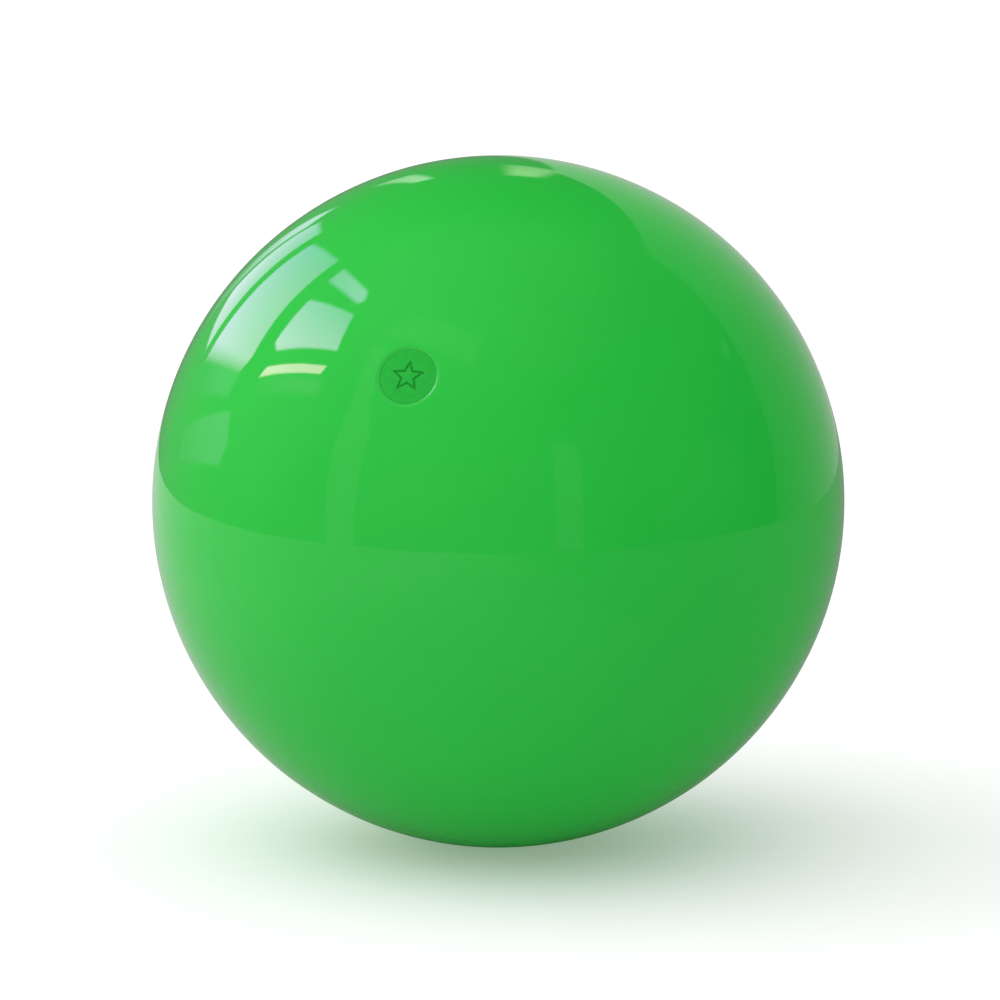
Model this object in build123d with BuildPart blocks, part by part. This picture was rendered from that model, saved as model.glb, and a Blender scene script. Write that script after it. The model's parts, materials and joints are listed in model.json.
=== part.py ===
from build123d import *
import math
import os

# A wound rubber playground ball, pumped up through a valve that a push-in plug covers.
# Millimetres. The origin is the ball's centre and +Z is up. The port's axis lies in the YZ plane:
# it faces -Y and rises above the horizon. Every sub-part is round about that axis.

# Ball and port
ball_diameter = 180.0
port_elevation = 30.0  # degrees above the horizon

# Layers of the wall, from the outside in
cover_thickness = 1.1
middle_ply_thickness = 0.5
winding_thickness = 0.4
bladder_thickness = 0.8

# Depths and heights run along the port's axis. A depth starts at the ball's surface over the port.

# Seat of the plug
seat_radius = 7.3
seat_depth = 2.0
seat_lip_radius = 0.45

# Valve housing, a rubber boss that hangs inside the ball from a flange under the bladder
collar_radius = 9.5
patch_radius = 20.0
patch_thickness = 0.6
flange_radius = 14.0
flange_edge = 0.5
flange_depth = 5.6
boss_top_radius = 6.5
boss_tip_radius = 5.8
boss_depth = 26.0
boss_root_fillet = 1.5
boss_tip_fillet = 1.0
throat_radius = 3.0
throat_length = 11.0
pocket_radius = 3.6
outlet_radius = 1.2

# Valve core, the insert that seals itself when the needle is drawn out
core_length = 10.5
core_chamfer = 0.5
funnel_radius = 2.2
funnel_depth = 2.0
needle_channel_radius = 1.0
needle_channel_length = 6.0
slit_width = 2.4
slit_gap = 0.1

# Plug
head_radius = 7.25
head_sink = 0.4  # how far the head's face lies under the ball's surface
head_edge_fillet = 0.1
stem_radius = 2.55
stem_length = 8.5
stem_tip_fillet = 1.2
rib_radius = 2.95
rib_width = 0.9
rib_depths = (5.1, 7.7)
star_outer_radius = 4.6
star_inner_radius = 2.0
star_points = 5
star_line_width = 0.5
star_depth = 0.3

# Counterweight opposite the valve
balance_radius = 27.1
balance_thickness = 1.6
balance_bevel = 3.0  # how far its edge slopes in

# Radii of the layers' faces
ball_radius = ball_diameter / 2
middle_ply_radius = ball_radius - cover_thickness
winding_radius = middle_ply_radius - middle_ply_thickness
bladder_radius = winding_radius - winding_thickness
lining_radius = bladder_radius - bladder_thickness
flange_face_radius = lining_radius - patch_thickness
head_face_radius = ball_radius - head_sink
balance_face_radius = lining_radius - balance_thickness
balance_face_width = balance_radius - balance_bevel

# Heights above the ball's centre
seat_height = ball_radius - seat_depth
flange_underside = ball_radius - flange_depth
boss_tip_height = ball_radius - boss_depth
stem_tip_height = seat_height - stem_length
pocket_top_height = seat_height - throat_length
pocket_floor_height = pocket_top_height - core_length
funnel_floor_height = pocket_top_height - funnel_depth
needle_channel_floor = funnel_floor_height - needle_channel_length

# The half section plane has its Y axis along the port's axis; port_plane faces out of the port.
elevation = math.radians(port_elevation)
port_direction = (0, -math.cos(elevation), math.sin(elevation))
port_axis = Axis((0, 0, 0), port_direction)
port_plane = Plane(origin=(0, 0, 0), x_dir=(1, 0, 0), z_dir=port_direction)
half_section = Plane(
    origin=(0, 0, 0),
    x_dir=(1, 0, 0),
    z_dir=(0, -math.sin(elevation), -math.cos(elevation)),
)


def on_sphere(radius, offset):
    """The half section's point on a sphere's upper half, this far from the port's axis."""
    return (offset, math.sqrt(radius**2 - offset**2))


def below_centre(point):
    """The half section's point mirrored to the lower half."""
    return (point[0], -point[1])


def arc_between(radius, start_offset, end_offset):
    """An arc of a sphere's section above its equator, between two distances from the axis."""
    middle_offset = (start_offset + end_offset) / 2
    return ThreePointArc(
        on_sphere(radius, start_offset),
        on_sphere(radius, middle_offset),
        on_sphere(radius, end_offset),
    )


def layer_section(outer_radius, inner_radius, hole_radius):
    """Outline of half a hollow ball's wall, with a round hole on the port's axis."""
    outer = ThreePointArc((0, -outer_radius), (outer_radius, 0), on_sphere(outer_radius, hole_radius))
    inner = ThreePointArc(on_sphere(inner_radius, hole_radius), (inner_radius, 0), (0, -inner_radius))
    Line(outer @ 1, inner @ 0)
    Line(inner @ 1, outer @ 0)


def rings(piece, radius):
    """The piece's round edges of this radius, from the innermost to the outermost."""
    round_edges = piece.edges().filter_by(GeomType.CIRCLE)
    return round_edges.filter_by(lambda edge: abs(edge.radius - radius) < 1e-6).sort_by(port_axis)


os.makedirs("parts", exist_ok=True)

# Cover: the coloured skin. The plug's head drops into the hole, whose lip is rounded.
with BuildPart() as cover:
    with BuildSketch(half_section):
        with BuildLine():
            layer_section(ball_radius, middle_ply_radius, seat_radius)
        make_face()
    revolve(axis=port_axis)
    fillet(rings(cover, seat_radius)[-1], radius=seat_lip_radius)
cover.part.label = "cover"
export_step(cover.part, "parts/cover.step")

# Middle ply: the soft rubber that bonds the cover to the winding
with BuildPart() as middle_ply:
    with BuildSketch(half_section):
        with BuildLine():
            layer_section(middle_ply_radius, winding_radius, collar_radius)
        make_face()
    revolve(axis=port_axis)
middle_ply.part.label = "middle_ply"
export_step(middle_ply.part, "parts/middle_ply.step")

# Winding: the layer of nylon thread that keeps the ball round
with BuildPart() as winding:
    with BuildSketch(half_section):
        with BuildLine():
            layer_section(winding_radius, bladder_radius, collar_radius)
        make_face()
    revolve(axis=port_axis)
winding.part.label = "winding"
export_step(winding.part, "parts/winding.step")

# Bladder: the airtight lining
with BuildPart() as bladder:
    with BuildSketch(half_section):
        with BuildLine():
            layer_section(bladder_radius, lining_radius, collar_radius)
        make_face()
    revolve(axis=port_axis)
bladder.part.label = "bladder"
export_step(bladder.part, "parts/bladder.step")

# Valve patch: the rubberised cloth ring between the bladder and the housing's flange
with BuildPart() as valve_patch:
    with BuildSketch(half_section):
        with BuildLine():
            patch_outside = arc_between(lining_radius, collar_radius, patch_radius)
            patch_inside = arc_between(flange_face_radius, patch_radius, collar_radius)
            Line(patch_outside @ 1, patch_inside @ 0)
            Line(patch_inside @ 1, patch_outside @ 0)
        make_face()
    revolve(axis=port_axis)
valve_patch.part.label = "valve_patch"
export_step(valve_patch.part, "parts/valve_patch.step")

# Valve housing: collar and seat through the wall, flange inside it, boss with throat, pocket and outlet
with BuildPart() as valve_housing:
    with BuildSketch(half_section):
        with BuildLine():
            seat_rim = arc_between(middle_ply_radius, seat_radius, collar_radius)
            flange_face = arc_between(flange_face_radius, collar_radius, flange_radius)
            Line(seat_rim @ 1, flange_face @ 0)
            flange_side = Line(flange_face @ 1, flange_face @ 1 - Vector(0, flange_edge))
            underside_edge = (flange_radius - flange_edge, flange_underside)
            Polyline(
                flange_side @ 1,
                underside_edge,
                (boss_top_radius, flange_underside),
                (boss_tip_radius, boss_tip_height),
                (outlet_radius, boss_tip_height),
                (outlet_radius, pocket_floor_height),
                (pocket_radius, pocket_floor_height),
                (pocket_radius, pocket_top_height),
                (throat_radius, pocket_top_height),
                (throat_radius, seat_height),
                (seat_radius, seat_height),
                seat_rim @ 0,
            )
        make_face()
    revolve(axis=port_axis)
    fillet(rings(valve_housing, boss_top_radius), radius=boss_root_fillet)
    fillet(rings(valve_housing, boss_tip_radius), radius=boss_tip_fillet)
valve_housing.part.label = "valve_housing"
export_step(valve_housing.part, "parts/valve_housing.step")

# Valve core: a funnel and a channel lead the needle to a slit that closes by itself
with BuildPart() as valve_core:
    with BuildSketch(port_plane.offset(pocket_floor_height)):
        Circle(pocket_radius)
    extrude(amount=pocket_top_height - pocket_floor_height)
    chamfer(rings(valve_core, pocket_radius), length=core_chamfer)
    with BuildSketch(half_section):
        with BuildLine():
            Polyline(
                (0, pocket_top_height),
                (funnel_radius, pocket_top_height),
                (needle_channel_radius, funnel_floor_height),
                (needle_channel_radius, needle_channel_floor),
                (0, needle_channel_floor),
                close=True,
            )
        make_face()
    revolve(axis=port_axis, mode=Mode.SUBTRACT)
    with BuildSketch(port_plane.offset(pocket_floor_height)):
        Rectangle(slit_width, slit_gap)
    extrude(amount=needle_channel_floor - pocket_floor_height, mode=Mode.SUBTRACT)
valve_core.part.label = "valve_core"
export_step(valve_core.part, "parts/valve_core.step")

# Valve plug: a head that fills the seat, a stem, and ribs that grip the throat
with BuildPart() as valve_plug:
    with BuildSketch(half_section):
        with BuildLine():
            head_face = arc_between(head_face_radius, 0, head_radius)
            Polyline(
                head_face @ 1,
                (head_radius, seat_height),
                (stem_radius, seat_height),
                (stem_radius, stem_tip_height),
                (0, stem_tip_height),
                head_face @ 0,
            )
        make_face()
    revolve(axis=port_axis)
    fillet(rings(valve_plug, head_radius)[-1], radius=head_edge_fillet)
    fillet(rings(valve_plug, stem_radius)[0], radius=stem_tip_fillet)
    for rib_depth in rib_depths:
        rib_height = ball_radius - rib_depth
        with BuildSketch(half_section):
            with BuildLine():
                rib_side = ThreePointArc(
                    (stem_radius, rib_height - rib_width / 2),
                    (rib_radius, rib_height),
                    (stem_radius, rib_height + rib_width / 2),
                )
                Polyline(
                    rib_side @ 1,
                    (0, rib_height + rib_width / 2),
                    (0, rib_height - rib_width / 2),
                    rib_side @ 0,
                )
            make_face()
        revolve(axis=port_axis)
    star_corners = []
    for corner in range(2 * star_points):
        reach = star_inner_radius if corner % 2 else star_outer_radius
        turn = math.radians(90 + corner * 180 / star_points)
        star_corners.append((reach * math.cos(turn), reach * math.sin(turn)))
    with BuildSketch(port_plane.offset(head_face_radius - star_depth)):
        with BuildLine():
            Polyline(*star_corners, close=True)
        make_face()
        offset(amount=-star_line_width, kind=Kind.INTERSECTION, mode=Mode.SUBTRACT)
    extrude(amount=star_depth, mode=Mode.SUBTRACT)
valve_plug.part.label = "valve_plug"
export_step(valve_plug.part, "parts/valve_plug.step")

# Balance patch: a disc bonded to the bladder's lining, as heavy as the valve
with BuildPart() as balance_patch:
    with BuildSketch(half_section):
        with BuildLine():
            disc_outside = ThreePointArc(
                (0, -lining_radius),
                below_centre(on_sphere(lining_radius, balance_radius / 2)),
                below_centre(on_sphere(lining_radius, balance_radius)),
            )
            disc_inside = ThreePointArc(
                below_centre(on_sphere(balance_face_radius, balance_face_width)),
                below_centre(on_sphere(balance_face_radius, balance_face_width / 2)),
                (0, -balance_face_radius),
            )
            Line(disc_outside @ 1, disc_inside @ 0)
            Line(disc_inside @ 1, disc_outside @ 0)
        make_face()
    revolve(axis=port_axis)
balance_patch.part.label = "balance_patch"
export_step(balance_patch.part, "parts/balance_patch.step")
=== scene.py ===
import json
import math

import bmesh
import bpy
import numpy as np
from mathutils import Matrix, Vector


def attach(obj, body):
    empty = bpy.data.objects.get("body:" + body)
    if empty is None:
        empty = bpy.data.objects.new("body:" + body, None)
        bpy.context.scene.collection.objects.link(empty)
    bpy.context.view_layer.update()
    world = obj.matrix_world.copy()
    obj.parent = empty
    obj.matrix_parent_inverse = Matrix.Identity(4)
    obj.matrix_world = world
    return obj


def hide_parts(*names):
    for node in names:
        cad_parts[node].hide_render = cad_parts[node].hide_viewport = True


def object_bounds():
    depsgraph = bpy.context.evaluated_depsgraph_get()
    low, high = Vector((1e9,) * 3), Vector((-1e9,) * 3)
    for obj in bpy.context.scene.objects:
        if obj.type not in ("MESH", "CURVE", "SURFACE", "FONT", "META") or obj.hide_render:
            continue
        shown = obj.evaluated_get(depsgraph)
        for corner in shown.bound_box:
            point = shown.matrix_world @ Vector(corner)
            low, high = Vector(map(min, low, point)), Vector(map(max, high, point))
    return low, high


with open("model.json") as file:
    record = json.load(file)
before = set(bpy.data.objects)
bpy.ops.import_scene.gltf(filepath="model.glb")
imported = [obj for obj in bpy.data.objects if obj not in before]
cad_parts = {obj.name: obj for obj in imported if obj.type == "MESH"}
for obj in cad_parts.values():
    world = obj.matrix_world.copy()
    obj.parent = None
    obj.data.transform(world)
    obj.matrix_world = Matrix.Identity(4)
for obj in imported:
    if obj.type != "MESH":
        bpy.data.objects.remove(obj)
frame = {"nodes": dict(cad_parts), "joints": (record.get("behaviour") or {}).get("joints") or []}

cad_low, cad_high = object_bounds()
nodes = frame["nodes"]

# ---------------------------------------------------------------- the frame
# Everything is round about the port's axis, so pieces are made from rings: a radius and a height
# along that axis, in metres. Smaller radii than NO_RADIUS are points on the axis.
MM = 0.001
NO_RADIUS = 1e-7
SAME_HEIGHT = 0.01 * MM
PORT = np.array(frame["joints"][0]["axis"], float)
PORT /= np.linalg.norm(PORT)
SIDE = np.array((1.0, 0.0, 0.0))
ABOVE = np.cross(PORT, SIDE)


def cad_rings(node):
    """Radius and height of each of a CAD node's points about the port's axis."""
    points = np.array([v.co for v in nodes[node].data.vertices], float)
    heights = points @ PORT
    return np.linalg.norm(points - np.outer(heights, PORT), axis=1), heights


cover_radii, cover_heights = cad_rings("cover")
plug_radii, plug_heights = cad_rings("valve_plug")
housing_radii, housing_heights = cad_rings("valve_housing")
winding_radii, winding_heights = cad_rings("winding")
core_radii, core_heights = cad_rings("valve_core")

BALL = float(np.hypot(cover_radii, cover_heights).max())
COVER_INSIDE = float(np.hypot(cover_radii, cover_heights).min())
SEAT = float(cover_radii[cover_heights > 0].min())
HEAD = (float(plug_radii.max()) + SEAT) / 2
STEM_TIP = float(plug_heights.min())
SEAT_HEIGHT = float(plug_heights[plug_radii > 0.9 * HEAD].min())
HEAD_FACE = float(np.hypot(plug_radii, plug_heights)[plug_radii < 1 * MM].max())
WINDING_OUTSIDE = float(np.hypot(winding_radii, winding_heights).max())
WINDING_INSIDE = float(np.hypot(winding_radii, winding_heights).min())
COLLAR = float(winding_radii[winding_heights > 0].min())
BOSS_TIP = float(housing_heights.min())
FLANGE = float(housing_radii.max())
FLANGE_FACE = float(np.hypot(housing_radii, housing_heights)[housing_radii > COLLAR + 2 * MM].max())
THROAT = float(housing_radii[np.abs(housing_heights - SEAT_HEIGHT) < SAME_HEIGHT].min())
OUTLET = float(housing_radii.min())
POCKET = float(core_radii.max())
POCKET_TOP = float(core_heights.max())
POCKET_FLOOR = float(core_heights.min())

# ---------------------------------------------------------------- meshes


def on_sphere(radius, offset):
    """Height of a sphere's point at this distance from the port's axis."""
    return math.sqrt(radius ** 2 - offset ** 2)


def axis_angle(radius, offset):
    """Angle in degrees from the port's axis to a sphere's point at this distance from it."""
    return math.degrees(math.asin(offset / radius))


def arc_ring(radius, start, end, count, ease=1.0):
    """Rings on a sphere between two angles from the port's axis, closer at the start when ease > 1."""
    angles = [math.radians(start + (end - start) * (i / (count - 1)) ** ease) for i in range(count)]
    return [(radius * math.sin(a), radius * math.cos(a)) for a in angles]


def rounded(corners, radii, steps=5):
    """A line of rings with its corners rounded. Each radius is how far the rounding reaches."""
    path = []
    for i, corner in enumerate(corners):
        reach = radii[i]
        if not reach:
            path.append(corner)
            continue
        here = np.array(corner)
        before = np.array(corners[i - 1]) - here
        after = np.array(corners[i + 1]) - here
        start = here + before / np.linalg.norm(before) * reach
        end = here + after / np.linalg.norm(after) * reach
        for k in range(steps + 1):
            t = k / steps
            path.append(tuple((1 - t) ** 2 * start + 2 * t * (1 - t) * here + t ** 2 * end))
    return path


def lathe(name, rings, segments, closed=False):
    """A mesh turned about the port's axis. A ring's radius and height are one number or one per segment."""
    turn = np.arange(segments) / segments * 2 * math.pi
    outward = np.outer(np.cos(turn), SIDE) + np.outer(np.sin(turn), ABOVE)
    points = []
    loops = []
    for radius, height in rings:
        radius = np.broadcast_to(np.asarray(radius, float), segments)
        height = np.broadcast_to(np.asarray(height, float), segments)
        first = len(points)
        if radius.max() < NO_RADIUS:
            points.append(PORT * height[0])
            loops.append([first] * segments)
            continue
        points.extend(outward * radius[:, None] + np.outer(height, PORT))
        loops.append(list(range(first, first + segments)))
    if closed:
        loops.append(loops[0])
    faces = []
    for low, high in zip(loops, loops[1:]):
        for k in range(segments):
            n = (k + 1) % segments
            face = [low[k], low[n], high[n], high[k]]
            face = [v for j, v in enumerate(face) if v != face[j - 1]]
            faces.append(face)
    mesh = bpy.data.meshes.new(name)
    mesh.from_pydata([tuple(p) for p in points], [], faces)
    work = bmesh.new()
    work.from_mesh(mesh)
    bmesh.ops.recalc_face_normals(work, faces=work.faces)
    work.to_mesh(mesh)
    work.free()
    mesh.shade_smooth()
    piece = bpy.data.objects.new(name, mesh)
    bpy.context.scene.collection.objects.link(piece)
    return piece


def smoothstep(value):
    value = np.clip(value, 0.0, 1.0)
    return value * value * (3 - 2 * value)


def point_values(piece, name, values):
    """Stores one number per point, for the piece's material to read."""
    layer = piece.data.attributes.new(name, "FLOAT", "POINT")
    layer.data.foreach_set("value", np.asarray(values, np.float32))


def piece_points(piece):
    """A piece's points as an array with three columns."""
    flat = np.zeros(len(piece.data.vertices) * 3)
    piece.data.vertices.foreach_get("co", flat)
    return flat.reshape(-1, 3)


def flat_shading(piece):
    """Keeps broad faces flat next to rounded edges."""
    piece.modifiers.new("weighted_normals", "WEIGHTED_NORMAL").keep_sharp = True


# Cover: outer skin, a soft shoulder round the seat, its wall and the inner face, as one closed shell
COVER_SEGMENTS = 256
OUTSIDE_RINGS = 170
INSIDE_RINGS = 60
SHOULDER_WIDTH = 1.4 * MM
SHOULDER_FOOT = 0.6 * MM
SHOULDER_DEPTH = 0.4 * MM
SHOULDER_ROUND = 0.6 * MM
shoulder_start = SEAT + SHOULDER_WIDTH
shoulder = rounded(
    [
        (shoulder_start, on_sphere(BALL, shoulder_start)),
        (SEAT + SHOULDER_FOOT, on_sphere(BALL, SEAT + SHOULDER_FOOT)),
        (SEAT, on_sphere(BALL, SEAT) - SHOULDER_DEPTH),
    ],
    [0, SHOULDER_ROUND, 0],
    steps=10,
)
outside = arc_ring(BALL, axis_angle(BALL, shoulder_start), 180, OUTSIDE_RINGS, ease=1.25)
inside = arc_ring(COVER_INSIDE, axis_angle(COVER_INSIDE, SEAT), 180, INSIDE_RINGS, ease=1.3)
cover = lathe("cover_skin", outside[::-1] + shoulder[1:] + inside, COVER_SEGMENTS)

# A moulded and pumped-up skin is never a perfect sphere: hundredths of a millimetre of waviness,
# which fades out just under the outer face. Each wave has a direction, longer for closer crests, and a phase.
WAVE_HEIGHT = 0.006 * MM
WAVE_DEPTH = 0.4 * MM
WAVE_FADE = 0.3 * MM
WAVES = [
    ((15.5, 6.0, -9.0), 0.4),
    ((-7.0, 18.0, 4.5), 2.1),
    ((11.0, -9.5, 16.5), 4.0),
    ((-23.5, 4.0, 12.5), 1.3),
    ((5.5, 26.0, -18.5), 5.2),
]
points = piece_points(cover)
distance = np.linalg.norm(points, axis=1)
normal = points / distance[:, None]
shift = sum(np.sin(normal @ np.array(wave) + phase) for wave, phase in WAVES) - len(WAVES)
outer_part = smoothstep((distance - BALL + WAVE_DEPTH) / WAVE_FADE)
points += normal * (WAVE_HEIGHT * shift * outer_part)[:, None]
cover.data.vertices.foreach_set("co", points.ravel())
cover.data.update()
from_seat = np.linalg.norm(points - np.outer(points @ PORT, PORT), axis=1) - SEAT
near_seat = np.where(points @ PORT > 0, 1 - smoothstep(from_seat / SHOULDER_WIDTH), 0.0)
point_values(cover, "lip", near_seat)
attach(cover, "ball")
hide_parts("cover")

# Plug: domed head with an engraved star outline, stem with two ribs
STAR_OUTER = 4.6 * MM
STAR_INNER = 2.0 * MM
STAR_LINE = 0.5 * MM
STAR_DEPTH = 0.3 * MM
STAR_CORNER = math.radians(1.6)  # how far the star's corners are rounded
STAR_MARGIN = 0.1 * MM
HEAD_EDGE = 0.05 * MM
HEAD_UNDER_EDGE = 0.12 * MM
STEM = 2.55 * MM
STEM_ROOT = 0.4 * MM
STEM_END = 1.2 * MM
RIB = 2.95 * MM
RIB_WIDTH = 0.9 * MM
RIB_DEPTHS = (5.1 * MM, 7.7 * MM)
RIB_STEPS = (-0.55, -0.45, -0.33, -0.2, 0.0, 0.2, 0.33, 0.45, 0.55)
RIB_HALF = 0.48
PLUG_SEGMENTS = 480

half_sector = math.pi / 5
arm_product = STAR_OUTER * STAR_INNER
side_length = math.sqrt(STAR_OUTER ** 2 + STAR_INNER ** 2 - 2 * arm_product * math.cos(half_sector))
side_distance = arm_product * math.sin(half_sector) / side_length
side_normal = math.acos(side_distance / STAR_OUTER)
turn = np.arange(PLUG_SEGMENTS) / PLUG_SEGMENTS * 2 * math.pi - math.pi / 2
from_arm = np.abs((turn + half_sector) % (2 * half_sector) - half_sector)
from_arm = np.sqrt(from_arm ** 2 + STAR_CORNER ** 2)
from_arm = half_sector - np.sqrt((half_sector - from_arm) ** 2 + STAR_CORNER ** 2)
star = side_distance / np.cos(side_normal - from_arm)


def domed(radius):
    """Height of the head's face at this distance from the port's axis."""
    return np.sqrt(HEAD_FACE ** 2 - radius ** 2)


def star_ring(offset):
    """The star's outline moved out by an offset."""
    return star * (side_distance + offset) / side_distance


head_rings = [(0.0, float(domed(0.0)))]
groove_share = [0.0]
for share in (0.12, 0.25, 0.38, 0.5, 0.6):
    head_rings.append((star * share, domed(star * share)))
    groove_share.append(0.0)
# The groove's flank, from the face to its floor: a distance in millimetres and a share of the depth
flank = [(-0.08, 0.0), (-0.03, 0.05), (0.0, 0.3), (0.03, 0.75), (0.07, 0.96), (0.12, 1.0)]
groove = [(distance * MM - STAR_LINE, depth) for distance, depth in flank]
groove += [(-STAR_LINE / 2, 1.0)]
groove += [(-distance * MM, depth) for distance, depth in reversed(flank)]
for offset, depth in groove:
    radius = star_ring(offset)
    head_rings.append((radius, domed(radius) - STAR_DEPTH * depth))
    groove_share.append(depth)
star_edge = star_ring(STAR_MARGIN)
rim = HEAD - HEAD_EDGE
for share in (0.12, 0.28, 0.46, 0.64, 0.8, 0.92, 1.0):
    radius = star_edge + (rim - star_edge) * share
    head_rings.append((radius, domed(radius)))
    groove_share.append(0.0)
rim_height = float(domed(rim))
body = rounded(
    [(rim, rim_height), (HEAD, rim_height - 0.02 * MM), (HEAD, SEAT_HEIGHT), (STEM, SEAT_HEIGHT)],
    [0, HEAD_EDGE, HEAD_UNDER_EDGE, 0],
)[1:-1]
body += rounded(
    [(STEM + 1 * MM, SEAT_HEIGHT), (STEM, SEAT_HEIGHT), (STEM, SEAT_HEIGHT - 1 * MM)], [0, STEM_ROOT, 0]
)[1:-1]
for rib_depth in RIB_DEPTHS:
    for step in RIB_STEPS:
        swell = max(0.0, 1 - (step / RIB_HALF) ** 2) ** 0.7
        body.append((STEM + (RIB - STEM) * swell, BALL - rib_depth - step * RIB_WIDTH))
body += rounded([(STEM, STEM_TIP + 3 * MM), (STEM, STEM_TIP), (0.0, STEM_TIP)], [0, STEM_END, 0], steps=8)[1:]
plug = lathe("plug_body", head_rings + body, PLUG_SEGMENTS)
shares = []
for ring, share in zip(head_rings, groove_share):
    shares += [share] * (1 if np.max(ring[0]) < NO_RADIUS else PLUG_SEGMENTS)
shares += [0.0] * (len(plug.data.vertices) - len(shares))
point_values(plug, "groove", shares)
flat_shading(plug)
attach(plug, "plug")
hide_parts("valve_plug")

# Valve housing: collar and seat, flange, boss, throat, pocket and outlet. Each corner has the reach of
# its rounding, and the pocket's corners stay sharp because the core fills them.
HOUSING_SEGMENTS = 192
MOULD_CORNER = 0.1 * MM
BOSS_TOP = 6.5 * MM
BOSS_END = 5.8 * MM
FLANGE_EDGE = 0.5 * MM
UNDERSIDE = BALL - 5.6 * MM
flange_top = on_sphere(FLANGE_FACE, FLANGE)
flange_arc = arc_ring(FLANGE_FACE, axis_angle(FLANGE_FACE, COLLAR), axis_angle(FLANGE_FACE, FLANGE), 8)
housing_rings = rounded(
    [
        (SEAT, SEAT_HEIGHT),
        (SEAT, on_sphere(COVER_INSIDE, SEAT)),
        (COLLAR, on_sphere(COVER_INSIDE, COLLAR)),
        (COLLAR, on_sphere(FLANGE_FACE, COLLAR)),
    ],
    [0, MOULD_CORNER, MOULD_CORNER, 0],
)[1:-1]
housing_rings += flange_arc[:-1]
housing_corners = [
    (flange_arc[-2], 0),
    ((FLANGE, flange_top), MOULD_CORNER),
    ((FLANGE, flange_top - FLANGE_EDGE), MOULD_CORNER),
    ((FLANGE - FLANGE_EDGE, UNDERSIDE), 0.15 * MM),
    ((BOSS_TOP, UNDERSIDE), 1.5 * MM),
    ((BOSS_END, BOSS_TIP), 1.0 * MM),
    ((OUTLET, BOSS_TIP), 0.2 * MM),
    ((OUTLET, POCKET_FLOOR), 0),
    ((POCKET, POCKET_FLOOR), 0),
    ((POCKET, POCKET_TOP), 0),
    ((THROAT, POCKET_TOP), 0.2 * MM),
    ((THROAT, SEAT_HEIGHT), 0.35 * MM),
    ((SEAT, SEAT_HEIGHT), 0.2 * MM),
    ((SEAT, on_sphere(COVER_INSIDE, SEAT)), 0),
]
housing_rings += rounded(*zip(*housing_corners))[1:-1]
housing = lathe("housing_body", housing_rings, HOUSING_SEGMENTS, closed=True)
flat_shading(housing)
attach(housing, "ball")
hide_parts("valve_housing")

# Winding: a thin bonded shell with turns of nylon thread laid round it in great circles. The turns'
# poles spread evenly over half a sphere, and a turn that would cross the port is left out.
WINDING_SEGMENTS = 128
SHELL_OUTSIDE_RINGS = 72
SHELL_INSIDE_RINGS = 48
PORT_MARGIN = 1 * MM
THREAD = 0.11 * MM
THREAD_TURNS = 72
THREAD_STEPS = 90
THREAD_SIDES = 4
GOLDEN_ANGLE = math.pi * (3 - math.sqrt(5))
OFF_AXIS = (0.3, 0.5, 0.81)  # any direction that no pole has
shell_outside = WINDING_OUTSIDE - 2 * THREAD
shell = lathe(
    "thread_winding",
    arc_ring(shell_outside, axis_angle(shell_outside, COLLAR), 180, SHELL_OUTSIDE_RINGS)[::-1]
    + arc_ring(WINDING_INSIDE, axis_angle(WINDING_INSIDE, COLLAR), 180, SHELL_INSIDE_RINGS),
    WINDING_SEGMENTS,
)
thread_points = []
thread_faces = []
port_clearance = (COLLAR + PORT_MARGIN) / WINDING_OUTSIDE
for number in range(THREAD_TURNS):
    rise = 1 - (number + 0.5) / THREAD_TURNS
    flat = math.sqrt(1 - rise * rise)
    pole = np.array((flat * math.cos(number * GOLDEN_ANGLE), flat * math.sin(number * GOLDEN_ANGLE), rise))
    if abs(pole @ PORT) < port_clearance:
        continue
    across = np.cross(pole, OFF_AXIS)
    across /= np.linalg.norm(across)
    along = np.cross(pole, across)
    first = len(thread_points)
    for step in range(THREAD_STEPS):
        angle = step / THREAD_STEPS * 2 * math.pi
        out = math.cos(angle) * across + math.sin(angle) * along
        for side in range(THREAD_SIDES):
            roll = (side + 0.5) / THREAD_SIDES * 2 * math.pi
            reach = WINDING_OUTSIDE - THREAD + THREAD * math.cos(roll)
            thread_points.append(out * reach + pole * THREAD * math.sin(roll))
    for step in range(THREAD_STEPS):
        ring = first + step * THREAD_SIDES
        next_ring = first + (step + 1) % THREAD_STEPS * THREAD_SIDES
        for side in range(THREAD_SIDES):
            next_side = (side + 1) % THREAD_SIDES
            thread_faces.append((ring + side, ring + next_side, next_ring + next_side, next_ring + side))
threads = bpy.data.meshes.new("threads")
threads.from_pydata([tuple(p) for p in thread_points], [], thread_faces)
work = bmesh.new()
work.from_mesh(shell.data)
work.from_mesh(threads)
bmesh.ops.recalc_face_normals(work, faces=work.faces)
work.to_mesh(shell.data)
work.free()
bpy.data.meshes.remove(threads)
shell.data.shade_smooth()
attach(shell, "ball")
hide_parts("winding")

# ---------------------------------------------------------------- materials


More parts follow.
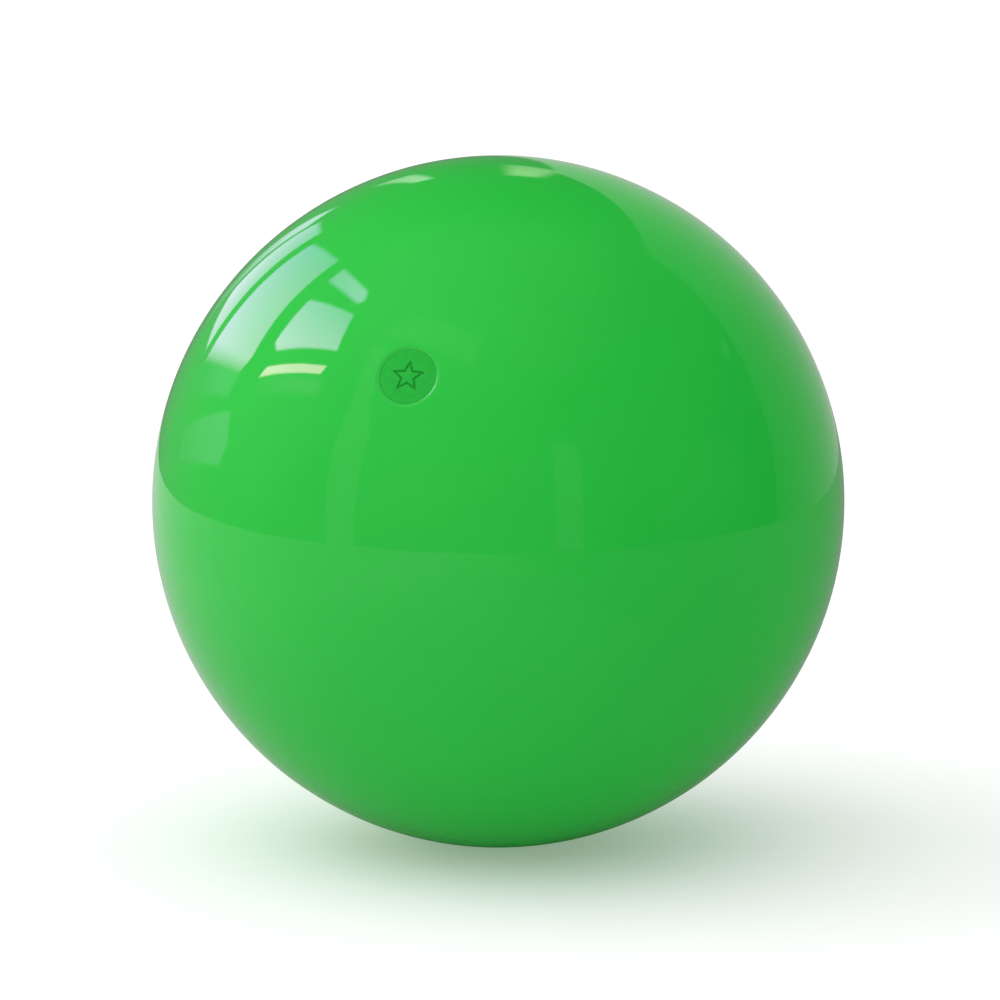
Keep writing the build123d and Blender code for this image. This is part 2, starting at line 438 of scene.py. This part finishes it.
class Graph:
    """Short ways to add nodes to a node tree."""

    def __init__(self, tree):
        self.tree = tree
        tree.nodes.clear()

    def add(self, kind, inputs=None, **settings):
        node = self.tree.nodes.new(kind)
        for key, value in settings.items():
            setattr(node, key, value)
        for key, value in (inputs or {}).items():
            self.put(value, node.inputs[key])
        return node

    def put(self, value, socket):
        if isinstance(value, bpy.types.NodeSocket):
            self.tree.links.new(value, socket)
        else:
            socket.default_value = value

    def math(self, operation, *values):
        node = self.add("ShaderNodeMath", operation=operation)
        for index, value in enumerate(values):
            self.put(value, node.inputs[index])
        return node.outputs[0]

    def ramp(self, value, low, high, start=0.0, end=1.0, smooth=True):
        """value from low..high to start..end, held beyond them."""
        node = self.add("ShaderNodeMapRange")
        node.interpolation_type = "SMOOTHSTEP" if smooth else "LINEAR"
        self.put(value, node.inputs["Value"])
        for key, limit in (("From Min", low), ("From Max", high), ("To Min", start), ("To Max", end)):
            self.put(limit, node.inputs[key])
        return node.outputs["Result"]

    def blend(self, share, first, second):
        node = self.add("ShaderNodeMix", data_type="RGBA")
        for index, value in ((0, share), (6, first), (7, second)):
            if index and isinstance(value, (tuple, list)) and len(value) == 3:
                value = (*value, 1.0)
            self.put(value, node.inputs[index])
        return node.outputs[2]

    def noise(self, place, scale, detail=2.0, rough=0.5):
        inputs = {"Vector": place, "Scale": scale, "Detail": detail, "Roughness": rough}
        return self.add("ShaderNodeTexNoise", inputs).outputs["Fac"]

    def wave(self, place, direction, scale, distortion, detail):
        inputs = {"Vector": place, "Scale": scale, "Distortion": distortion, "Detail": detail}
        return self.add("ShaderNodeTexWave", inputs, bands_direction=direction).outputs["Fac"]

    def attribute(self, name):
        return self.add("ShaderNodeAttribute", attribute_name=name).outputs["Fac"]

    def along(self, place, axis):
        return self.add("ShaderNodeVectorMath", {0: place, 1: axis}, operation="DOT_PRODUCT").outputs["Value"]


def surface(name, roughness, specular=0.5):
    """A material with a Principled shader. Returns it, its graph, the shader and the object's coordinates."""
    material = bpy.data.materials.new(name)
    material.use_nodes = True
    graph = Graph(material.node_tree)
    out = graph.add("ShaderNodeOutputMaterial")
    shader = graph.add("ShaderNodeBsdfPrincipled")
    graph.put(shader.outputs[0], out.inputs["Surface"])
    shader.inputs["IOR"].default_value = 1.5
    shader.inputs["Specular IOR Level"].default_value = specular
    shader.inputs["Roughness"].default_value = roughness
    place = graph.add("ShaderNodeTexCoord").outputs["Object"]
    return material, graph, shader, place


def bump(graph, shader, height, distance):
    node = graph.add("ShaderNodeBump", {"Strength": 1.0, "Distance": distance, "Height": height})
    graph.put(node.outputs[0], shader.inputs["Normal"])


def shade(colour, factor):
    return tuple(c * factor for c in colour)


def rubber(name, colour, roughness, spread, mottle, mottle_scale, grain_scale, grain_depth, specular=0.5):
    """Moulded rubber: faint uneven colour, uneven gloss and a fine grain."""
    material, graph, shader, place = surface(name, roughness, specular)
    patches = graph.ramp(graph.noise(place, mottle_scale, 3.0), 0.3, 0.7)
    skin = graph.blend(patches, shade(colour, 1 - mottle), shade(colour, 1 + mottle))
    graph.put(skin, shader.inputs["Base Color"])
    gloss = graph.noise(place, mottle_scale * 3.1, 4.0)
    graph.put(graph.ramp(gloss, 0.3, 0.7, roughness - spread, roughness + spread), shader.inputs["Roughness"])
    bump(graph, shader, graph.noise(place, grain_scale, 3.0, 0.6), grain_depth)
    return material, graph, shader, skin


def dress(target, material):
    """Gives a CAD node's or a piece's mesh one material."""
    target.data.materials.clear()
    target.data.materials.append(material)


# Cover: smooth glossy rubber, less glossy on the shoulder round the seat, where painted shade darkens its
# colour
GREEN = (0.0150, 0.500, 0.0450)
# How strongly painted shade darkens the colour on the shoulder round the seat
LIP_PAINTED_SHADE = 0.12
LIP_DULLNESS = 0.28
cover_material, graph, shader, place = surface("cover_rubber", 0.05)
broad = graph.ramp(graph.noise(place, 14.0, 2.0), 0.3, 0.7, 0.0, 0.8)
fine = graph.ramp(graph.noise(place, 260.0, 3.0, 0.6), 0.35, 0.65, 0.0, 0.2)
skin = graph.blend(graph.math("ADD", broad, fine), shade(GREEN, 0.97), shade(GREEN, 1.03))
lip_share = graph.attribute("lip")
# Painted shade: the colour is darkened on the shoulder round the seat
skin = graph.blend(graph.math("MULTIPLY", lip_share, LIP_PAINTED_SHADE), skin, shade(GREEN, 0.8))
graph.put(skin, shader.inputs["Base Color"])
gloss = graph.ramp(graph.noise(place, 45.0, 4.0), 0.35, 0.7, 0.02, 0.045)
gloss = graph.math("ADD", gloss, graph.math("MULTIPLY", lip_share, LIP_DULLNESS))
graph.put(gloss, shader.inputs["Roughness"])
bump(graph, shader, graph.noise(place, 190.0, 1.5), 0.004 * MM)
dress(cover, cover_material)

# Plug: the same green, matt, and darker in the star's groove, partly painted shade in the recess and partly
# dirt
GROOVE_SHADE_AND_DIRT = 0.6
plug_material, graph, shader, skin = rubber(
    "plug_rubber", shade(GREEN, 0.84), 0.52, 0.08, 0.04, 420.0, 2600.0, 0.03 * MM, specular=0.15
)
# Darkening in the groove: painted shade and dirt
groove_shade_and_dirt = graph.math("MULTIPLY", graph.attribute("groove"), GROOVE_SHADE_AND_DIRT)
graph.put(graph.blend(groove_shade_and_dirt, skin, shade(GREEN, 0.45)), shader.inputs["Base Color"])
dress(plug, plug_material)

# The inner rubbers: colour, roughness and its spread, mottle and its scale, grain scale and depth
INNER_RUBBERS = {
    "housing_rubber": (housing, (0.035, 0.036, 0.040), 0.5, 0.1, 0.12, 260.0, 1500.0, 0.04 * MM),
    "core_rubber": (nodes["valve_core"], (0.45, 0.30, 0.14), 0.38, 0.08, 0.08, 300.0, 1800.0, 0.02 * MM),
    "middle_ply_rubber": (nodes["middle_ply"], (0.07, 0.30, 0.08), 0.62, 0.1, 0.12, 60.0, 700.0, 0.06 * MM),
    "butyl_rubber": (nodes["bladder"], (0.020, 0.020, 0.022), 0.36, 0.1, 0.2, 40.0, 500.0, 0.03 * MM),
    "balance_rubber": (nodes["balance_patch"], (0.05, 0.05, 0.05), 0.6, 0.1, 0.15, 120.0, 900.0, 0.05 * MM),
}
for name, (target, *recipe) in INNER_RUBBERS.items():
    dress(target, rubber(name, *recipe)[0])

# Nylon thread: bundles of fine filaments, a little sheen
thread_material, graph, shader, place = surface("nylon_thread", 0.45)
shader.inputs["Sheen Weight"].default_value = 0.3
shader.inputs["Sheen Roughness"].default_value = 0.4
strands = graph.wave(place, "DIAGONAL", 900.0, 6.0, 3.0)
graph.put(graph.blend(strands, (0.62, 0.60, 0.52), (0.86, 0.85, 0.78)), shader.inputs["Base Color"])
graph.put(graph.ramp(strands, 0.2, 0.8, 0.5, 0.38), shader.inputs["Roughness"])
bump(graph, shader, strands, 0.05 * MM)
dress(shell, thread_material)

# Rubberised cloth: a plain weave of two sets of threads
cloth_material, graph, shader, place = surface("patch_cloth", 0.75)
shader.inputs["Sheen Weight"].default_value = 0.25
warp = graph.wave(place, "X", 420.0, 0.6, 2.0)
weft = graph.wave(place, "Z", 420.0, 0.6, 2.0)
weave = graph.math("MAXIMUM", warp, weft)
graph.put(graph.blend(weave, (0.05, 0.05, 0.05), (0.14, 0.135, 0.13)), shader.inputs["Base Color"])
graph.put(graph.ramp(weave, 0.2, 0.9, 0.85, 0.65), shader.inputs["Roughness"])
bump(graph, shader, weave, 0.08 * MM)
dress(nodes["valve_patch"], cloth_material)

# ---------------------------------------------------------------- camera


def heading(place):
    """The direction of an azimuth and an elevation in degrees; azimuth 0 is toward -Y and 90 toward +X."""
    turn, lift = (math.radians(v) for v in place)
    return np.array((math.sin(turn) * math.cos(lift), -math.cos(turn) * math.cos(lift), math.sin(lift)))


CAMERA_DISTANCE = 2.0
CAMERA_PLACE = (16.9, 10.0)  # azimuth and elevation in degrees
FRAME_SHARE = 0.6928  # the ball's width over the picture's
RIGHT_OF_CENTRE = 0.416 * MM
ABOVE_CENTRE = 0.364 * MM
SENSOR = 36.0
back = Vector(heading(CAMERA_PLACE))
right = Vector(heading((CAMERA_PLACE[0] + 90, 0)))
centre = (cad_low + cad_high) / 2
aim = centre + right * RIGHT_OF_CENTRE + back.cross(right) * ABOVE_CENTRE
camera_data = bpy.data.cameras.new("camera")
camera_data.sensor_width = SENSOR
camera_data.lens = FRAME_SHARE * SENSOR / 2 / math.tan(math.asin(BALL / CAMERA_DISTANCE))
camera_data.clip_start = 0.05
camera_data.clip_end = 100.0
camera = bpy.data.objects.new("camera", camera_data)
camera.location = aim + back * CAMERA_DISTANCE
camera.rotation_mode = "QUATERNION"
camera.rotation_quaternion = (-back).to_track_quat("-Z", "Y")
bpy.context.scene.collection.objects.link(camera)
bpy.context.scene.camera = camera
bpy.context.scene.view_settings.view_transform = "Standard"

# ---------------------------------------------------------------- studio
FLOOR_RADIUS = 30.0
TABLE_RADIUS = 0.86
LAYER_GAP = 0.2 * MM
FLOOR_TONES = (0.775, 0.785)
FLOOR_GLOW = 0.22
WHITE = (1.0, 1.0, 1.0, 1.0)
# Painted light on the table: its colour is lighter near the window and darker further from it
TABLE_PAINTED_LIGHT = (0.62, 0.26)
TABLE_FADE = (-0.25, 0.16)
FROM_WINDOW = (0.93, 0.37, 0.0)
GROUND_TONE = 0.45
GROUND_GLOW = 0.38


def disc(name, radius, segments, material, depth=0.0):
    """A flat round stage piece under the ball, the depth lower than it stands."""
    work = bmesh.new()
    bmesh.ops.create_circle(work, cap_ends=True, cap_tris=True, radius=radius, segments=segments)
    mesh = bpy.data.meshes.new(name)
    work.to_mesh(mesh)
    work.free()
    piece = bpy.data.objects.new(name, mesh)
    piece.location = (centre.x, centre.y, cad_low.z - depth)
    bpy.context.scene.collection.objects.link(piece)
    piece.data.materials.append(material)
    return piece


def even_grey(value):
    return (value, value, value)


# Three layers. The camera sees a floor that runs out of the picture, matt surfaces are lit by a ground
# that glows a little, so that the ball's foot isn't too dark, and reflections show the table, which has
# an edge and painted light on it: its colour is lighter near the window and darker further from it.
floor_material, graph, shader, place = surface("floor_paper", 0.9, specular=0.0)
paper = graph.blend(graph.noise(place, 3.0, 4.0), *(even_grey(tone) for tone in FLOOR_TONES))
graph.put(paper, shader.inputs["Base Color"])
shader.inputs["Emission Color"].default_value = WHITE
shader.inputs["Emission Strength"].default_value = FLOOR_GLOW
floor = disc("floor", FLOOR_RADIUS, 96, floor_material)
floor.visible_glossy = False
floor.visible_diffuse = False
floor.visible_shadow = False

table_material, graph, shader, place = surface("table_top", 0.9, specular=0.0)
# Painted light: the table's colour darkens with distance from the window
away = graph.ramp(graph.along(place, FROM_WINDOW), *TABLE_FADE, smooth=False)
graph.put(graph.blend(away, *(even_grey(tone) for tone in TABLE_PAINTED_LIGHT)), shader.inputs["Base Color"])
table = disc("table", TABLE_RADIUS, 160, table_material, LAYER_GAP)
table.visible_camera = False
table.visible_diffuse = False
table.visible_shadow = False

ground_material, graph, shader, place = surface("ground", 0.9, specular=0.0)
shader.inputs["Base Color"].default_value = (*even_grey(GROUND_TONE), 1.0)
shader.inputs["Emission Color"].default_value = WHITE
shader.inputs["Emission Strength"].default_value = GROUND_GLOW
ground = disc("ground", FLOOR_RADIUS, 96, ground_material, 2 * LAYER_GAP)
ground.visible_camera = False
ground.visible_glossy = False

# Daylight from the window falls on matt surfaces and casts the ball's soft shadow
DAYLIGHT_PLACE = (-88.0, 29.0)  # azimuth and elevation in degrees
DAYLIGHT_DISTANCE = 1.3
daylight_data = bpy.data.lights.new("daylight", "AREA")
daylight_data.shape = "RECTANGLE"
daylight_data.size = 1.2
daylight_data.size_y = 1.5
daylight_data.energy = 6.0
daylight = bpy.data.objects.new("daylight", daylight_data)
from_ball = Vector(heading(DAYLIGHT_PLACE))
daylight.location = centre + from_ball * DAYLIGHT_DISTANCE
daylight.rotation_mode = "QUATERNION"
daylight.rotation_quaternion = from_ball.to_track_quat("Z", "Y")
daylight.visible_camera = False
daylight.visible_glossy = False
bpy.context.scene.collection.objects.link(daylight)

# World: matt surfaces see a soft uneven tent, and glossy ones see a room with a window, posts and a
# pale backdrop. Past the floor the camera would see an even pale grey.
world = bpy.data.worlds.new("studio")
bpy.context.scene.world = world
world.use_nodes = True
graph = Graph(world.node_tree)
toward = graph.add("ShaderNodeTexCoord").outputs["Generated"]


def grey(value):
    return graph.add("ShaderNodeCombineColor", {"Red": value, "Green": value, "Blue": value}).outputs[0]


def linear_light(base, slope):
    return graph.math("ADD", base, graph.along(toward, slope))


# Tent: an even part, a slope, and a gain for each product of two directions
TENT_BASE = 0.95
TENT_SLOPE = (-0.17, 0.10, -0.05)
x, y, z = (graph.along(toward, axis) for axis in ((1.0, 0.0, 0.0), (0.0, 1.0, 0.0), (0.0, 0.0, 1.0)))
TENT_CURVES = [(x, x, -0.58), (y, y, 0.13), (z, z, 0.46), (x, y, 0.08), (x, z, -0.17), (y, z, -0.61)]
tent = linear_light(TENT_BASE, TENT_SLOPE)
for first, second, gain in TENT_CURVES:
    tent = graph.math("ADD", tent, graph.math("MULTIPLY", graph.math("MULTIPLY", first, second), gain))
tent = grey(tent)


def opening(corners, softness, foot_softness=None):
    """Mask of a straight-sided shape seen from the ball. Its corners are in order, its foot the last edge."""
    places = [heading(corner) for corner in corners]
    middle = sum(places)
    mask = None
    edge_softness = [softness] * (len(places) - 1) + [foot_softness or softness]
    for here, after, soft in zip(places, places[1:] + places[:1], edge_softness):
        edge = np.cross(here, after)
        edge /= np.linalg.norm(edge) * (1 if edge @ middle > 0 else -1)
        side = graph.ramp(graph.along(toward, tuple(edge)), -soft, soft)
        mask = side if mask is None else graph.math("MULTIPLY", mask, side)
    return mask


def patch(place, radius, gain):
    """A soft round patch that adds gain, or takes it away, round a direction."""
    nearness = graph.along(toward, tuple(heading(place)))
    return graph.math("MULTIPLY", graph.ramp(nearness, math.cos(math.radians(radius)), 1.0), gain)


# Room: dim, darker to the right and in the corner behind the window. Patches: place, radius, gain
ROOM_BASE = 0.24
ROOM_SLOPE = (-0.15, -0.11, 0.02)
ROOM_LEAST = 0.03
ROOM_PATCHES = [
    ((-160, 38), 34, -0.10),
    ((-10, 80), 45, 0.15),
    ((-75, 52), 32, 0.08),
    ((-72, 20), 24, 0.10),
    ((-48, 12), 10, -0.07),
    ((-15, 20), 22, 0.04),
    ((88, 8), 24, 0.06),
]
room = linear_light(ROOM_BASE, ROOM_SLOPE)
for place, radius, gain in ROOM_PATCHES:
    room = graph.math("ADD", room, patch(place, radius, gain))
room = graph.math("MAXIMUM", room, ROOM_LEAST)

# Posts and beams, a little lighter than the walls: corners, gain, softness of the edges
BEAMS = [
    ([(-41.5, -8), (-31, -8), (-31.5, 28), (-36, 37), (-43.5, 35)], 0.30, 0.015),
    ([(-43.5, 34), (-35.5, 38), (-44, 52), (-52.5, 52)], 0.30, 0.02),
    ([(-53, 54), (-30, 57.5), (4, 53.5), (6, 66), (-20, 68), (-48, 66)], 0.20, 0.03),
    ([(35.5, -8), (45, -8), (45.5, 28), (36, 28)], 0.20, 0.012),
    ([(124.5, 28.5), (125.5, 31), (131.5, 31), (129, 28.5)], 0.20, 0.01),
]
for corners, gain, softness in BEAMS:
    room = graph.math("ADD", room, graph.math("MULTIPLY", opening(corners, softness), gain))

BACKDROP = [(119, -12), (127.3, 19.5), (152, 46.5), (-169, 23), (-160, -12)]
BACKDROP_BASE = 0.06
BACKDROP_SLOPE = (-0.16, 0.46, 0.0)
BACKDROP_SOFTNESS = 0.008
backdrop_light = linear_light(BACKDROP_BASE, BACKDROP_SLOPE)
room_colour = graph.blend(opening(BACKDROP, BACKDROP_SOFTNESS), grey(room), grey(backdrop_light))

# Panes: corners in order, then a place and its colour twice, how soft the edges are, and how soft the
# foot is where it differs. The colour changes evenly from one place to the other.
PANES = [
    ([(-125, 10.5), (-132, 30), (-116.5, 44.5), (-99.3, 24.5), (-100, 21.3)],
     (-106, 18), (5.4, 2.8, 6.1), (-131, 33), (1.5, 1.0, 2.8), 0.010, 0.045),
    ([(-129, 8.5), (-136.5, 28), (-143.5, 20), (-142.5, 7)],
     (-134, 10), (2.4, 1.5, 2.8), (-143, 22), (1.5, 1.0, 2.2), 0.010),
    ([(-144.5, 16.5), (-148, 17), (-149.5, 1), (-145, 1)],
     (-147, 3), (0.4, 0.35, 0.45), (-146, 13), (1.7, 1.2, 2.2), 0.012),
    ([(-94.5, 31.3), (-101.5, 41), (-76.5, 52.3), (-66, 43.8), (-90.5, 31.3)],
     (-84, 37), (7.4, 3.9, 8.8), (-92, 48), (3.5, 2.1, 5.4), 0.010),
    ([(-106.5, 45), (-110, 48), (-98, 54), (-87, 57.0), (-81.5, 55.9), (-82, 54)],
     (-108, 47), (2.8, 1.7, 4.1), (-86, 55), (4.6, 2.9, 6.8), 0.014),
    ([(-89.3, 24.4), (-89, 27.4), (-77, 34.4), (-64.5, 39.3), (-64.5, 36.7)],
     (-88, 26), (11.0, 5.6, 8.0), (-65, 38), (11.0, 5.6, 8.0), 0.006),
    ([(-125, 4.5), (-124, 10), (-103, 19.3), (-99.5, 20.5), (-99, 15.5)],
     (-118, 7), (0.35, 0.30, 0.40), (-106, 17), (0.80, 0.62, 0.95), 0.015),
    ([(-87, 21), (-89.5, 24), (-62, 36), (-60, 32)],
     (-85, 22), (0.65, 0.50, 0.70), (-72, 31), (1.05, 0.70, 1.10), 0.025),
    ([(-118, -2), (-119, 2), (-94, 14.5), (-89, 9), (-91, 4)],
     (-114, 0), (0.45, 0.36, 0.50), (-96, 11), (1.10, 0.75, 1.30), 0.012),
    ([(-153.2, 15), (-155.8, 17), (-155, 27.5), (-152.8, 27)],
     (-154, 16), (0.8, 0.75, 0.8), (-154, 26), (1.4, 1.3, 1.4), 0.010),
    ([(-164, 19), (-169, 21), (-168.5, 31), (-164.5, 31.5)],
     (-166, 19), (0.55, 0.55, 0.50), (-166, 28), (1.15, 1.15, 0.90), 0.02),
]
for corners, first, first_colour, second, second_colour, *softness in PANES:
    first, second = heading(first), heading(second)
    across = second - first
    share = graph.ramp(graph.along(toward, tuple(across)), first @ across, second @ across, smooth=False)
    glow = graph.blend(share, first_colour, second_colour)
    room_colour = graph.blend(opening(corners, *softness), room_colour, glow)

BACKGROUND = 0.965
path = graph.add("ShaderNodeLightPath")
seen = graph.blend(path.outputs["Is Glossy Ray"], tent, room_colour)
seen = graph.blend(path.outputs["Is Camera Ray"], seen, even_grey(BACKGROUND))
shine = graph.add("ShaderNodeBackground", {"Color": seen, "Strength": 1.0})
out = graph.add("ShaderNodeOutputWorld")
graph.put(shine.outputs[0], out.inputs["Surface"])
